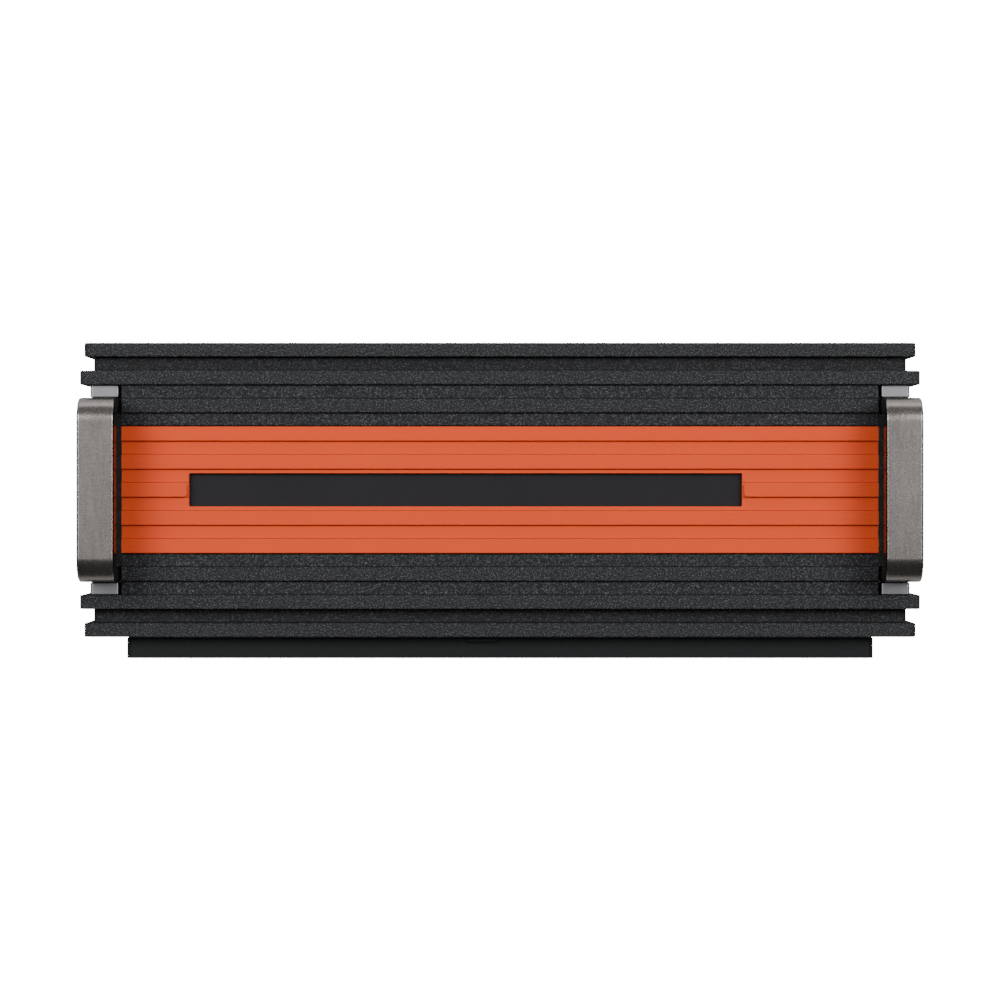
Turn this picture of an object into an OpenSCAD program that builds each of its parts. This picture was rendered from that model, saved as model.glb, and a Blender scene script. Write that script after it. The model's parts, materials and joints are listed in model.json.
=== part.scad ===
// Portable power station: a ribbed two-part shell between a front fascia and a recessed rear
// panel, with an orange ribbed top band, two swing-up bail handles and the works inside.
// Millimetres, +Z up, front towards -Y. The modules below are laid out about the middle rib, and
// each node is then moved so that the origin is on the floor under the middle of the whole.

/* [Body] */
// Width across the ribs
body_w = 524.6; // [522:0.2:540]
// Height of the top ribs above the floor
body_h = 300; // [296:1:320]
// Distance from one rib to the next
rib_pitch = 17.5; // [17.3:0.1:17.8]
// Width of one rib
rib_w = 8.8; // [8.6:0.1:9]
// Depth of the shallow grooves between the ribs
groove = 2.2; // [1.8:0.1:2.6]
// Depth of the deep groove beside each outer rib
deep_groove = 8; // [7:0.5:10]
// How far each outer rib is lower than the others
outer_drop = 2.5; // [2:0.1:3]
// Wall thickness of the shell
wall = 3.5; // [3.2:0.1:3.6]

/* [Top band] */
// Length of the slot in the band
slot_len = 345; // [300:1:360]
// Width of the slot
slot_w = 20.6; // [18:0.1:21]
// Middle of the slot, left of the middle of the body
slot_shift = 21.5; // [0:0.5:25]

/* [Handles] */
// Width of the handle's bar
bar_w = 23.2; // [20:0.1:23.4]
// Thickness of the handle's bar
bar_t = 15; // [11:0.5:16]
// Outer length of the handle
handle_len = 114; // [112:0.5:114.5]
// Height of the bar's top above the hinge
handle_rise = 52; // [46:1:56]
// Distance of the hinge axis from the middle of the body
hinge_x = 248.5; // [248.4:0.1:248.8]

/* [Fascia] */
// Width of the front fascia
fascia_w = 468.6; // [460:0.2:472]
// How far the fascia stands out of the front rib
fascia_out = 13.7; // [13:0.1:14.5]

/* [Feet] */
// Height of the rubber feet
foot_h = 8; // [6:0.5:10]
// Radius of a foot
foot_r = 17; // [15:0.5:18]

/* [Hidden] */
$fn = 48;

black = "#33363a";
dark = "#25272a";
orange = "#d2673f";
gunmetal = "#77736f";
silver = "#a9abb0";
steel = "#8c8f94";
copper = "#b87333";
board_green = "#1f5b3a";

slop = 1;                                 // extra length of a cutting tool
half_w = body_w / 2;
mid_y = 4 * rib_pitch + rib_w / 2;        // outer face of the last full rib
end_y = 5 * rib_pitch + rib_w / 2;        // outer face of the outer rib
split_z = 150;
gap = 0.6;                                // half the joint between the shells
cav_mid_x = half_w - groove - 3;
cav_end_x = half_w - deep_groove - wall;
cav_mid_y = mid_y - wall;
cav_end_y = end_y - wall;
boss_x = half_w - 11.2;                   // screws that join the shells
boss_r = 6.5;

// Handle pocket in each side
pocket_x = 236.3;
pocket_y = 65.6;
pocket_z = body_h - 80;
hinge_z = body_h - 17;
leg_t = 10.2;
bend_r = 15;                              // outer radius of the handle's bends
pin_r = 4;
ear_y = 57.8;
ear_top = 12;
ear_bottom = 21;
ear_in = 10.6;
ear_out = 7.5;

// Top band
band_y = 39.6;
band_z = body_h - 6;
strip_t = 2.5;

// Fascia and the openings behind it and in the rear
fascia_x = fascia_w / 2;
fascia_z0 = 18;
fascia_z1 = body_h - 14;
seal_t = 1;
fascia_y0 = -end_y - fascia_out;
plate_y = fascia_y0 + wall;               // back of the fascia's front plate
fascia_back = -end_y - seal_t;
zone_depth = 1.2;                         // depth of the shallow fields around the controls
face_y = fascia_y0 + zone_depth;          // face that the sockets sit on
car_face_y = fascia_y0 + 6.8;             // floor of the recess round the car socket
cap_hinge_y = car_face_y - 4.4;
cap_hinge_z = 21;
collar_y = -86;                           // back of the collar that enters the shell
fascia_r = 5;
proud = 1.6;                              // how far the buttons stand out
front_y = fascia_y0 - proud;              // foremost point of all
centre_y = -(front_y + end_y) / 2;
open_x = 216;
open_z0 = 36;
open_z1 = body_h - 32;
rear_x = 222;
screw_z = [26, 108, 196, body_h - 23];
front_screw_x = 224.5;
rear_screw_x = 233;
screw_r = 2;

// Front controls: centres as [x, z]
ac_at = [[124, 208], [186, 208], [124, 150], [186, 150]];
car_at = [-184, 206];
jack_at = [[-122, 217], [-122, 193]];
usb_a_at = [[-190, 158], [-190, 140]];
usb_c_at = [[-152, 158], [-152, 140]];
power_at = [0, 158];
ac_button_at = [155, 92];
dc_button_at = [-155, 92];
light_button_at = [0, 98];
power_r = 13;
button_r = 8.5;
display_at = [0, 231];
lens_w = 150;
lens_h = 62;
light_at = [0, 54];
light_w = 130;
light_h = 15;
travel_gap = 1.5;

// Rear panel
tray_y0 = 78;
tray_y1 = 81;
fan_at = [150, 200];
fan_r = 38;
fan_y0 = 53;
inlet_at = [-52, 165];
solar_at = [54, 165];
expansion_at = [0, 220];
breaker_at = [0, 165];
hinge_out = 84;                           // y of the port covers' hinge pins
cover_t = 3;
inlet_cover = [46, 38];
solar_cover_size = [56, 34];
expansion_cover_size = [84, 36];

// Battery pack
cell = [27, 132, 108];
cell_pitch = 28;
cell_n = 16;
tray_z = foot_h + groove + 3;
cell_z = tray_z + 3;
deck_z = 141;

// ---------------------------------------------------------------- shape helpers

module placed() {
    translate([0, centre_y, 0]) children();
}

module along_y(y0, y1) {
    translate([0, y1, 0]) rotate([90, 0, 0]) linear_extrude(y1 - y0) children();
}

module along_x(x0, x1) {
    translate([x0, 0, 0]) rotate([90, 0, 90]) linear_extrude(x1 - x0) children();
}

module box(x0, x1, y0, y1, z0, z1) {
    translate([x0, y0, z0]) cube([x1 - x0, y1 - y0, z1 - z0]);
}

module round_rect(x0, x1, y0, y1, r) {
    translate([x0 + r, y0]) square([x1 - x0 - 2 * r, y1 - y0]);
    translate([x0, y0 + r]) square([x1 - x0, y1 - y0 - 2 * r]);
    for (x = [x0 + r, x1 - r], y = [y0 + r, y1 - r]) translate([x, y]) circle(r);
}

module centred_rect(at, w, h, r) {
    round_rect(at[0] - w / 2, at[0] + w / 2, at[1] - h / 2, at[1] + h / 2, r);
}

module rod_y(x, z, y0, y1, r) {
    translate([x, y1, z]) rotate([90, 0, 0]) cylinder(r = r, h = y1 - y0);
}

module rod_x(x0, x1, y, z, r) {
    translate([x0, y, z]) rotate([0, 90, 0]) cylinder(r = r, h = x1 - x0);
}

module tube_y(x, z, y0, y1, r, bore) {
    difference() {
        rod_y(x, z, y0, y1, r);
        rod_y(x, z, y0 - slop, y1 + slop, bore);
    }
}

module both_sides() {
    children();
    mirror([1, 0, 0]) children();
}

// ---------------------------------------------------------------- shell

module loop(inset, r) {
    round_rect(-half_w + inset, half_w - inset, foot_h + inset, body_h - inset, r);
}

module ribbed_solid() {
    along_y(-end_y, end_y) loop(deep_groove, 4);
    along_y(-mid_y, mid_y) loop(groove, 4);
    for (i = [-4:4])
        along_y(i * rib_pitch - rib_w / 2, i * rib_pitch + rib_w / 2) loop(0, 5);
    for (i = [-5, 5])
        along_y(i * rib_pitch - rib_w / 2, i * rib_pitch + rib_w / 2) loop(outer_drop, 5);
}

module handle_pocket(grow, top) {
    both_sides()
        box(pocket_x - grow, half_w + slop, -pocket_y - grow, pocket_y + grow, pocket_z - grow, top);
}

module cavity() {
    difference() {
        union() {
            box(-cav_mid_x, cav_mid_x, -cav_mid_y, cav_mid_y, foot_h + groove + 3, band_z - 6);
            for (s = [0, 1]) mirror([0, s, 0])
                box(-cav_mid_x, cav_mid_x, band_y + 4.4, cav_mid_y, split_z, body_h - groove - wall);
            box(-cav_end_x, cav_end_x, -cav_end_y, cav_end_y,
                foot_h + deep_groove + wall, body_h - deep_groove - wall);
        }
        both_sides()
            box(pocket_x - 3, half_w + slop, -cav_mid_y, cav_mid_y, pocket_z - 3, body_h);
    }
}

module panel_openings() {
    along_y(-end_y - slop, -cav_end_y + slop)
        round_rect(-open_x, open_x, open_z0, open_z1, 8);
    along_y(cav_end_y - slop, end_y + slop)
        round_rect(-rear_x, rear_x, open_z0, open_z1, 8);
}

module shell_screw_spots() {
    both_sides() for (y = [-48, 0, 48]) translate([boss_x, y, 0]) children();
}

module panel_bosses() {
    for (z = screw_z) both_sides()
        rod_y(front_screw_x, z, -cav_end_y - slop, -cav_end_y + 9, 5.5);
}

module panel_screw_holes() {
    for (z = screw_z) both_sides() {
        rod_y(front_screw_x, z, -end_y - slop, -cav_end_y + 7, screw_r + 0.02);
        rod_y(rear_screw_x, z, cav_end_y - slop, end_y + slop, screw_r + 0.1);
        rod_y(rear_screw_x, z, end_y - 2.4, end_y + slop, 4.4);
    }
}

module shell_half(z0, z1) {
    intersection() {
        union() {
            difference() {
                ribbed_solid();
                cavity();
            }
            panel_bosses();
        }
        box(-half_w - slop, half_w + slop, -end_y - slop, end_y + slop, z0, z1);
    }
}

module upper_shell() {
    color(black) difference() {
        union() {
            shell_half(split_z + gap, body_h + slop);
            shell_screw_spots() translate([0, 0, split_z + gap]) cylinder(r = boss_r, h = 28);
        }
        handle_pocket(0, body_h + slop);
        box(-half_w, half_w, -band_y - 0.3, band_y + 0.3, band_z, body_h + slop);
        box(-slot_shift - slot_len / 2 - 2, -slot_shift + slot_len / 2 + 2,
            -slot_w / 2 - 2, slot_w / 2 + 2, band_z - strip_t, body_h);
        panel_openings();
        panel_screw_holes();
        shell_screw_spots() translate([0, 0, split_z]) cylinder(r = screw_r + 0.02, h = 24);
        for (y = [-72, pocket_y - slop]) both_sides()
            rod_y(hinge_x, hinge_z, y, y + 7.4, pin_r + 0.02);
    }
}

module side_vents() {
    both_sides() for (i = [-3:2])
        box(cav_mid_x - slop, half_w + slop,
            (i + 0.5) * rib_pitch - 2.2, (i + 0.5) * rib_pitch + 2.2, 42, 116);
}

module foot_spots() {
    for (x = [-205, 205], y = [-54, 54]) translate([x, y, 0]) children();
}

module lower_shell() {
    color(black) difference() {
        union() {
            shell_half(foot_h - slop, split_z - gap);
            shell_screw_spots()
                translate([0, 0, foot_h + groove + 1]) cylinder(r = boss_r, h = split_z - gap - foot_h - groove - 1);
            foot_spots() translate([0, 0, foot_h]) cylinder(r = foot_r + 1.5, h = groove + 1);
        }
        panel_openings();
        panel_screw_holes();
        side_vents();
        shell_screw_spots() {
            translate([0, 0, foot_h - slop]) cylinder(r = 4.4, h = 110 + slop);
            translate([0, 0, foot_h]) cylinder(r = screw_r + 0.1, h = split_z);
        }
        foot_spots() translate([0, 0, foot_h - slop]) cylinder(r = screw_r + 0.02, h = 12);
    }
}

module shell_gasket() {
    color("#55585c") translate([0, 0, split_z - gap]) linear_extrude(2 * gap) both_sides() {
        translate([cav_mid_x + 0.2, -72.6]) square([1.8, 145.2]);
        for (s = [0, 1]) mirror([0, s]) {
            translate([cav_end_x + 0.4, 71]) square([8.1, 1.6]);
            translate([cav_end_x + 0.4, 71]) square([1.8, 18.8]);
            translate([rear_x + 1, 88.8]) square([cav_end_x + 1.2 - rear_x, 1.8]);
        }
    }
}

module screw_y(x, z, y, dir, head_r, head_t, len) {
    translate([x, y, z]) rotate([dir * 90, 0, 0]) difference() {
        union() {
            cylinder(r = head_r, h = head_t);
            translate([0, 0, head_t]) cylinder(r = screw_r, h = len);
        }
        translate([0, 0, -slop]) cylinder(r = head_r * 0.5, h = head_t * 0.6 + slop, $fn = 6);
    }
}

module shell_screws() {
    color(steel) shell_screw_spots() translate([0, 0, foot_h + 107]) difference() {
        union() {
            cylinder(r = 4, h = 3);
            cylinder(r = screw_r, h = 50);
        }
        translate([0, 0, -slop]) cylinder(r = 1.8, h = 2 + slop, $fn = 6);
    }
}

module rubber_feet() {
    color("#151617") foot_spots() difference() {
        cylinder(r1 = foot_r - 1.5, r2 = foot_r, h = foot_h);
        translate([0, 0, -slop]) cylinder(r = 5, h = 4 + slop);
        cylinder(r = screw_r + 0.1, h = foot_h + slop);
    }
}

module foot_screws() {
    color(steel) foot_spots() translate([0, 0, 2]) difference() {
        union() {
            cylinder(r = 4, h = 2);
            cylinder(r = screw_r, h = 10.5);
        }
        translate([0, 0, -slop]) cylinder(r = 1.8, h = 1 + slop, $fn = 6);
    }
}

// ---------------------------------------------------------------- top band

module top_band() {
    low = band_z + 3.8;
    color(orange) difference() {
        union() {
            box(-pocket_x + 0.2, pocket_x - 0.2, -band_y, band_y, band_z, low);
            for (i = [-2, -1, 1, 2])
                box(-pocket_x + 0.2, pocket_x - 0.2,
                    i * rib_pitch - rib_w / 2, min(i * rib_pitch + rib_w / 2 + 0.2, band_y), low, body_h);
            translate([0, 0, low]) linear_extrude(body_h - low) {
                round_rect(-pocket_x + 0.2, -slot_shift - slot_len / 2 - 1.1, -rib_w / 2, rib_w / 2, 2);
                round_rect(-slot_shift + slot_len / 2 + 1.1, pocket_x - 0.2, -rib_w / 2, rib_w / 2, 2);
                for (x = [-pocket_x + 0.2, pocket_x - 5.2])
                    translate([x, -rib_w / 2]) square([5, rib_w]);
            }
        }
        translate([0, 0, band_z - slop]) linear_extrude(8 + slop)
            round_rect(-slot_shift - slot_len / 2, -slot_shift + slot_len / 2, -slot_w / 2, slot_w / 2, 0.8);
    }
}

module nameplate_strip() {
    color(dark) box(-slot_shift - slot_len / 2 - 1.8, -slot_shift + slot_len / 2 + 1.8,
        -slot_w / 2 - 1.8, slot_w / 2 + 1.8, band_z - strip_t, band_z);
}

// ---------------------------------------------------------------- handles

module bail() {
    half = handle_len / 2;
    half_bar = bar_w / 2;
    difference() {
        intersection() {
            along_x(-half_bar, half_bar) difference() {
                union() {
                    round_rect(-half, half, 0, handle_rise, bend_r);
                    translate([-half, -half_bar]) square([handle_len, 30]);
                }
                union() {
                    round_rect(-half + leg_t, half - leg_t, 0, handle_rise - bar_t, bend_r / 3);
                    translate([-half + leg_t, -30]) square([handle_len - 2 * leg_t, 50]);
                }
            }
            union() {
                rod_y(0, 0, -half - slop, half + slop, half_bar);
                box(-half_bar, half_bar, -half - slop, half + slop, 0, handle_rise + slop);
            }
        }
        rod_y(0, 0, -half - slop, half + slop, pin_r + 0.05);
    }
}

module handle_right() {
    color(gunmetal) translate([hinge_x, 0, hinge_z]) bail();
}

module handle_left() {
    color(gunmetal) translate([-hinge_x, 0, hinge_z]) bail();
}

module hinge_ears_right() {
    color(silver) for (s = [0, 1]) mirror([0, s, 0]) translate([hinge_x, 0, hinge_z])
        along_y(ear_y, pocket_y) difference() {
            round_rect(-ear_in, ear_out, -ear_bottom, ear_top, 1.5);
            circle(pin_r + 0.02);
        }
}

module hinge_ears_left() {
    mirror([1, 0, 0]) hinge_ears_right();
}

module hinge_pins() {
    head_y = handle_len / 2 - leg_t - 0.2;
    color(steel) both_sides() for (s = [0, 1]) mirror([0, s, 0]) difference() {
        union() {
            rod_y(hinge_x, hinge_z, head_y - 2.2, head_y, 7);
            rod_y(hinge_x, hinge_z, head_y, 71.5, pin_r);
        }
        translate([hinge_x, head_y - 2.2 - slop, hinge_z]) rotate([-90, 0, 0])
            cylinder(r = 3, h = 1.4 + slop, $fn = 6);
    }
}

module friction_washers() {
    color("#d8d4c8") both_sides() for (s = [0, 1]) mirror([0, s, 0])
        tube_y(hinge_x, hinge_z, ear_y - 0.6, ear_y, 9, pin_r + 0.1);
}

// ---------------------------------------------------------------- front fascia

module zone_pocket(x0, x1, z0, z1) {
    along_y(fascia_y0 - slop, face_y) round_rect(x0, x1, z0, z1, 8);
}

module fascia_blank() {
    along_y(fascia_y0, fascia_back) round_rect(-fascia_x, fascia_x, fascia_z0, fascia_z1, fascia_r);
    along_y(plate_y - slop, collar_y) round_rect(-open_x + 0.4, open_x - 0.4, open_z0 + 0.4, open_z1 - 0.4, 7.6);
    translate([0, 0, fascia_z1 - 2]) linear_extrude(3.8)
        polygon([[-23, fascia_back], [0.6, fascia_back], [-3, fascia_back - 2.8], [-19.4, fascia_back - 2.8]]);
}

module fascia_hollow() {
    along_y(plate_y, collar_y + slop)
        round_rect(-open_x + 3, open_x - 3, open_z0 + 3, open_z1 - 3, 5);
    difference() {
        along_y(plate_y, fascia_back + slop)
            round_rect(-fascia_x + wall, fascia_x - wall, fascia_z0 + wall, fascia_z1 - wall, fascia_r - wall);
        along_y(plate_y - slop, fascia_back + 2 * slop)
            round_rect(-open_x + 0.4, open_x - 0.4, open_z0 + 0.4, open_z1 - 0.4, 7.6);
    }
}

module car_recess(grow, y0, y1) {
    along_y(y0, y1) round_rect(car_at[0] - 19 - grow, car_at[0] + 19 + grow,
        car_at[1] - 18 - grow, car_at[1] + cap_hinge_z + 3.5 + grow, 4 + grow);
}

module button_hole(at, r) {
    rod_y(at[0], at[1], fascia_y0 - slop, plate_y + slop, r + 0.35);
    rod_y(at[0], at[1], fascia_y0 - slop, fascia_y0 + 2, r + 2.4);
}

module front_fascia() {
    color(dark) difference() {
        union() {
            difference() {
                fascia_blank();
                fascia_hollow();
            }
            for (z = screw_z) both_sides()
                rod_y(front_screw_x, z, plate_y - slop, fascia_back, 6);
            car_recess(2.5, plate_y - slop, car_face_y + 2.5);
        }
        car_recess(0, fascia_y0 - slop, car_face_y);
        zone_pocket(96, 213, 64, 244);
        zone_pocket(-213, -96, 64, 244);
        zone_pocket(-82, 82, 192, 270);
        for (z = screw_z) both_sides() {
            rod_y(front_screw_x, z, fascia_y0 - slop, fascia_back + slop, screw_r + 0.1);
            rod_y(front_screw_x, z, fascia_y0 - slop, fascia_y0 + 2.4, 4.4);
        }
        along_y(fascia_y0 - slop, face_y + 1.2) centred_rect(display_at, lens_w + 0.4, lens_h + 0.4, 4);
        along_y(fascia_y0, plate_y + slop) centred_rect(display_at, lens_w - 12, lens_h - 12, 3);
        along_y(fascia_y0 - slop, plate_y + slop) centred_rect(light_at, light_w + 0.4, light_h + 0.4, 5);
        for (p = ac_at) along_y(fascia_y0, plate_y + slop) centred_rect(p, 35.4, 35.4, 3);
        for (p = usb_a_at) along_y(fascia_y0, plate_y + slop) centred_rect(p, 14.2, 6.6, 0.8);
        for (p = usb_c_at) along_y(fascia_y0, plate_y + slop) centred_rect(p, 9.6, 3.8, 1.6);
        rod_y(car_at[0], car_at[1], fascia_y0, car_face_y + 2.5 + slop, 14.2);
        for (p = jack_at) rod_y(p[0], p[1], fascia_y0, plate_y + slop, 6.2);
        button_hole(power_at, power_r);
        for (p = [ac_button_at, dc_button_at, light_button_at]) button_hole(p, button_r);
    }
}

module fascia_gasket() {
    color("#5d6064") along_y(fascia_back, -end_y) difference() {
        round_rect(-fascia_x + 0.8, fascia_x - 0.8, fascia_z0 + 0.8, fascia_z1 - 0.8, fascia_r - 0.8);
        round_rect(-open_x + 0.2, open_x - 0.2, open_z0 + 0.2, open_z1 - 0.2, 7.8);
        for (z = screw_z) both_sides() translate([front_screw_x, z]) circle(screw_r + 0.3);
    }
}

module fascia_screws() {
    color(steel) for (z = screw_z) both_sides()
        screw_y(front_screw_x, z, fascia_y0 + 0.2, -1, 4, 2.2, 18);
}

module display_lens() {
    color("#0b0d10") along_y(face_y + 0.1, face_y + 1.2)
        centred_rect(display_at, lens_w, lens_h, 3.8);
}

module display_module() {
    color("#2d3b46") {
        along_y(plate_y + 0.1, plate_y + 5) centred_rect(display_at, lens_w - 4, lens_h - 4, 1);
        along_y(plate_y - 1, plate_y + 0.1) centred_rect(display_at, lens_w - 14, lens_h - 14, 1);
    }
}

module ac_socket(at) {
    face = face_y - 0.6;
    color("#1d1f21") translate([at[0], 0, at[1]]) difference() {
        union() {
            along_y(face, face + 2) centred_rect([0, 0], 35, 35, 3);
            along_y(face + 1, -76) centred_rect([0, 0], 32, 32, 2);
        }
        along_y(face - slop, face + 14) {
            translate([-7.5, 0.5]) square([2.2, 8]);
            translate([5.3, 1]) square([2, 7]);
            translate([0, -7.5]) circle(2.6);
        }
    }
}

module ac_socket_1() ac_socket(ac_at[0]);
module ac_socket_2() ac_socket(ac_at[1]);
module ac_socket_3() ac_socket(ac_at[2]);
module ac_socket_4() ac_socket(ac_at[3]);

module usb_a_ports() {
    color(silver) for (p = usb_a_at) {
        along_y(face_y, fascia_y0 + 16) difference() {
            centred_rect(p, 13.2, 5.8, 0.6);
            centred_rect(p, 12.5, 5.1, 0.4);
        }
        along_y(fascia_y0 + 14, fascia_y0 + 16) centred_rect(p, 13, 5.6, 0.5);
        along_y(fascia_y0 + 3, fascia_y0 + 15) centred_rect([p[0], p[1] + 0.8], 11, 1.8, 0.3);
    }
}

module usb_c_ports() {
    color(silver) for (p = usb_c_at) {
        along_y(face_y, fascia_y0 + 9) difference() {
            centred_rect(p, 9, 3.2, 1.5);
            centred_rect(p, 8.4, 2.6, 1.25);
        }
        along_y(fascia_y0 + 7.6, fascia_y0 + 9) centred_rect(p, 8.8, 3, 1.4);
        along_y(fascia_y0 + 2.4, fascia_y0 + 8) centred_rect(p, 6.6, 0.7, 0.2);
    }
}

module car_socket() {
    x = car_at[0];
    z = car_at[1];
    color("#1b1c1e") difference() {
        union() {
            rod_y(x, z, car_face_y - 1.6, car_face_y, 16.5);
            box(x - 8, x + 8, car_face_y - 1.6, car_face_y, z + 10, z + cap_hinge_z + 2.2);
            rod_y(x, z, car_face_y - 0.5, -66, 14);
            translate([x, 0, z + cap_hinge_z]) for (s = [0, 1]) mirror([s, 0, 0]) along_x(5, 8) {
                translate([cap_hinge_y, 0]) circle(2.2);
                translate([cap_hinge_y, -2.2]) square([car_face_y - cap_hinge_y, 4.4]);
            }
        }
        rod_y(x, z, car_face_y - 1.6 - slop, -69, 10.5);
        rod_x(x - 10, x + 10, cap_hinge_y, z + cap_hinge_z, 1.02);
    }
    color(steel) rod_y(x, z, -74, -68.5, 3);
}

module car_socket_cap() {
    x = car_at[0];
    z = car_at[1];
    back = car_face_y - 1.9;
    color("#222427") difference() {
        union() {
            rod_y(x, z, back - 2.4, back, 16.5);
            rod_y(x, z, back - 1, back + 3.2, 9.6);
            box(x - 4.7, x + 4.7, back - 2.4, back, z, z + cap_hinge_z);
            rod_x(x - 4.7, x + 4.7, cap_hinge_y, z + cap_hinge_z, 2.2);
            box(x - 7, x + 7, back - 3.6, back - 2, z - 14, z - 11.5);
        }
        rod_x(x - 10, x + 10, cap_hinge_y, z + cap_hinge_z, 1.06);
        rod_y(x, z, back + 1, back + 4, 7.6);
    }
}

module cover_pins() {
    color(steel) {
        rod_x(car_at[0] - 8, car_at[0] + 8, cap_hinge_y, car_at[1] + cap_hinge_z, 1);
        cover_pin(inlet_at, inlet_cover);
        cover_pin(solar_at, solar_cover_size);
        cover_pin(expansion_at, expansion_cover_size);
    }
}

module dc_jacks() {
    color("#1b1c1e") for (p = jack_at) {
        difference() {
            union() {
                rod_y(p[0], p[1], face_y - 1.4, face_y, 8);
                rod_y(p[0], p[1], face_y - 0.5, face_y + 14, 6);
            }
            rod_y(p[0], p[1], face_y - 1.4 - slop, face_y + 11, 2.9);
        }
        rod_y(p[0], p[1], face_y + 1, face_y + 12, 1.05);
    }
}

module push_button(at, r) {
    translate([at[0], 0, at[1]]) {
        rod_y(0, 0, fascia_y0 - proud, plate_y + 0.3, r);
        rod_y(0, 0, plate_y + 0.3, plate_y + 1.8, r + 1.6);
        rod_y(0, 0, plate_y + 1, plate_y + 5, 3);
    }
}

module power_button() color("#44474b") push_button(power_at, power_r);
module ac_button() color("#44474b") push_button(ac_button_at, button_r);
module dc_button() color("#44474b") push_button(dc_button_at, button_r);
module light_button() color("#44474b") push_button(light_button_at, button_r);

module button_rings() {
    color(orange) {
        tube_y(power_at[0], power_at[1], fascia_y0 - 0.5, fascia_y0 + 2, power_r + 2.3, power_r + 0.4);
        for (p = [ac_button_at, dc_button_at, light_button_at])
            tube_y(p[0], p[1], fascia_y0 - 0.5, fascia_y0 + 2, button_r + 2.3, button_r + 0.4);
    }
}

module light_lens() {
    color("#e9ebe6") {
        along_y(fascia_y0 - 0.8, plate_y + 0.5) centred_rect(light_at, light_w, light_h, 4.8);
        along_y(plate_y, plate_y + 1.5) centred_rect(light_at, light_w + 5, light_h + 5, 6);
    }
}

module light_board() {
    color(board_green) along_y(plate_y + 5, plate_y + 6.6) centred_rect(light_at, light_w, 13, 1);
    color("#f3e9a8") for (i = [-4.5:4.5])
        along_y(plate_y + 4, plate_y + 5) centred_rect([light_at[0] + i * 13, light_at[1]], 5, 5, 0.5);
}

module control_board() {
    y0 = plate_y + 5 + travel_gap + 1.5;
    color(board_green) difference() {
        union() {
            along_y(y0, y0 + 1.6) {
                round_rect(-176, 176, 78, 106, 2);
                round_rect(-60, 60, 78, 186, 2);
            }
            for (p = [power_at, ac_button_at, dc_button_at, light_button_at])
                along_y(y0 - 1.5, y0) centred_rect(p, 6, 6, 0.5);
        }
        for (x = [-54, 54], z = [84, 180]) rod_y(x, z, y0 - slop, y0 + 2 + slop, 1.6);
    }
    color("#2b2b2b") for (x = [-36, 30]) along_y(y0 + 1.6, y0 + 4) centred_rect([x, 130], 22, 22, 1);
}

// ---------------------------------------------------------------- rear panel

module cover_pin(at, size) {
    rod_x(at[0] - size[0] / 2, at[0] + size[0] / 2, hinge_out, at[1] + size[1] / 2 + 3, 1.2);
}

module cover_lugs(at, size) {
    z = at[1] + size[1] / 2 + 3;
    translate([at[0], 0, 0]) for (s = [0, 1]) mirror([s, 0, 0]) difference() {
        along_x(size[0] / 2 - 4, size[0] / 2) {
            translate([hinge_out, z]) circle(2.6);
            translate([tray_y1 - slop, z - 2.6]) square([hinge_out - tray_y1 + slop, 5.2]);
        }
        rod_x(-slop, size[0], hinge_out, z, 1.22);
    }
}

module port_cover(at, size) {
    z = at[1] + size[1] / 2 + 3;
    reach = size[0] / 2 - 4.3;
    color("#202224") difference() {
        union() {
            along_y(tray_y1 + 0.3, tray_y1 + 0.3 + cover_t) centred_rect([at[0], at[1] - 0.3], size[0], size[1], 4);
            box(at[0] - reach, at[0] + reach, tray_y1 + 0.3, tray_y1 + 0.3 + cover_t, at[1], z);
            rod_x(at[0] - reach, at[0] + reach, hinge_out, z, 2.6);
            box(at[0] - 8, at[0] + 8, tray_y1 + cover_t, tray_y1 + cover_t + 2.2,
                at[1] - size[1] / 2 + 2, at[1] - size[1] / 2 + 5);
        }
        rod_x(at[0] - size[0], at[0] + size[0], hinge_out, z, 1.26);
    }
}

module ac_inlet_cover() port_cover(inlet_at, inlet_cover);
module solar_cover() port_cover(solar_at, solar_cover_size);
module expansion_cover() port_cover(expansion_at, expansion_cover_size);

module rear_frame(inset, r) {
    round_rect(-rear_x + inset, rear_x - inset, open_z0 + inset, open_z1 - inset, r);
}

module rear_panel() {
    color(dark) difference() {
        union() {
            along_y(tray_y0, tray_y1) rear_frame(0.4, 7.6);
            along_y(tray_y0, end_y - 0.8) difference() {
                rear_frame(0.4, 7.6);
                rear_frame(3.4, 5);
            }
            along_y(cav_end_y - 3, cav_end_y) difference() {
                round_rect(-243, 243, 24, body_h - 16, 4);
                rear_frame(3, 5);
            }
            cover_lugs(inlet_at, inlet_cover);
            cover_lugs(solar_at, solar_cover_size);
            cover_lugs(expansion_at, expansion_cover_size);
        }
        for (x = [-fan_at[0], fan_at[0]]) rod_y(x, fan_at[1], tray_y0 - slop, tray_y1 + slop, fan_r);
        for (z = screw_z) both_sides()
            rod_y(rear_screw_x, z, cav_end_y - 3 - slop, cav_end_y + slop, screw_r + 0.02);
        along_y(tray_y0 - slop, tray_y1 + slop) {
            centred_rect(inlet_at, 30.4, 23.4, 2);
            centred_rect(solar_at, 44.4, 18.4, 2);
            centred_rect(expansion_at, 66.4, 22.4, 2);
            translate(breaker_at) circle(6.1);
            for (s = [-1:1], i = [0:6]) centred_rect([s * 140, 58 + i * 11], 112, 4.6, 2.2);
        }
    }
}

module rear_screws() {
    color(steel) for (z = screw_z) both_sides()
        screw_y(rear_screw_x, z, end_y - 0.2, 1, 4, 2.2, 8);
}

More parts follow.
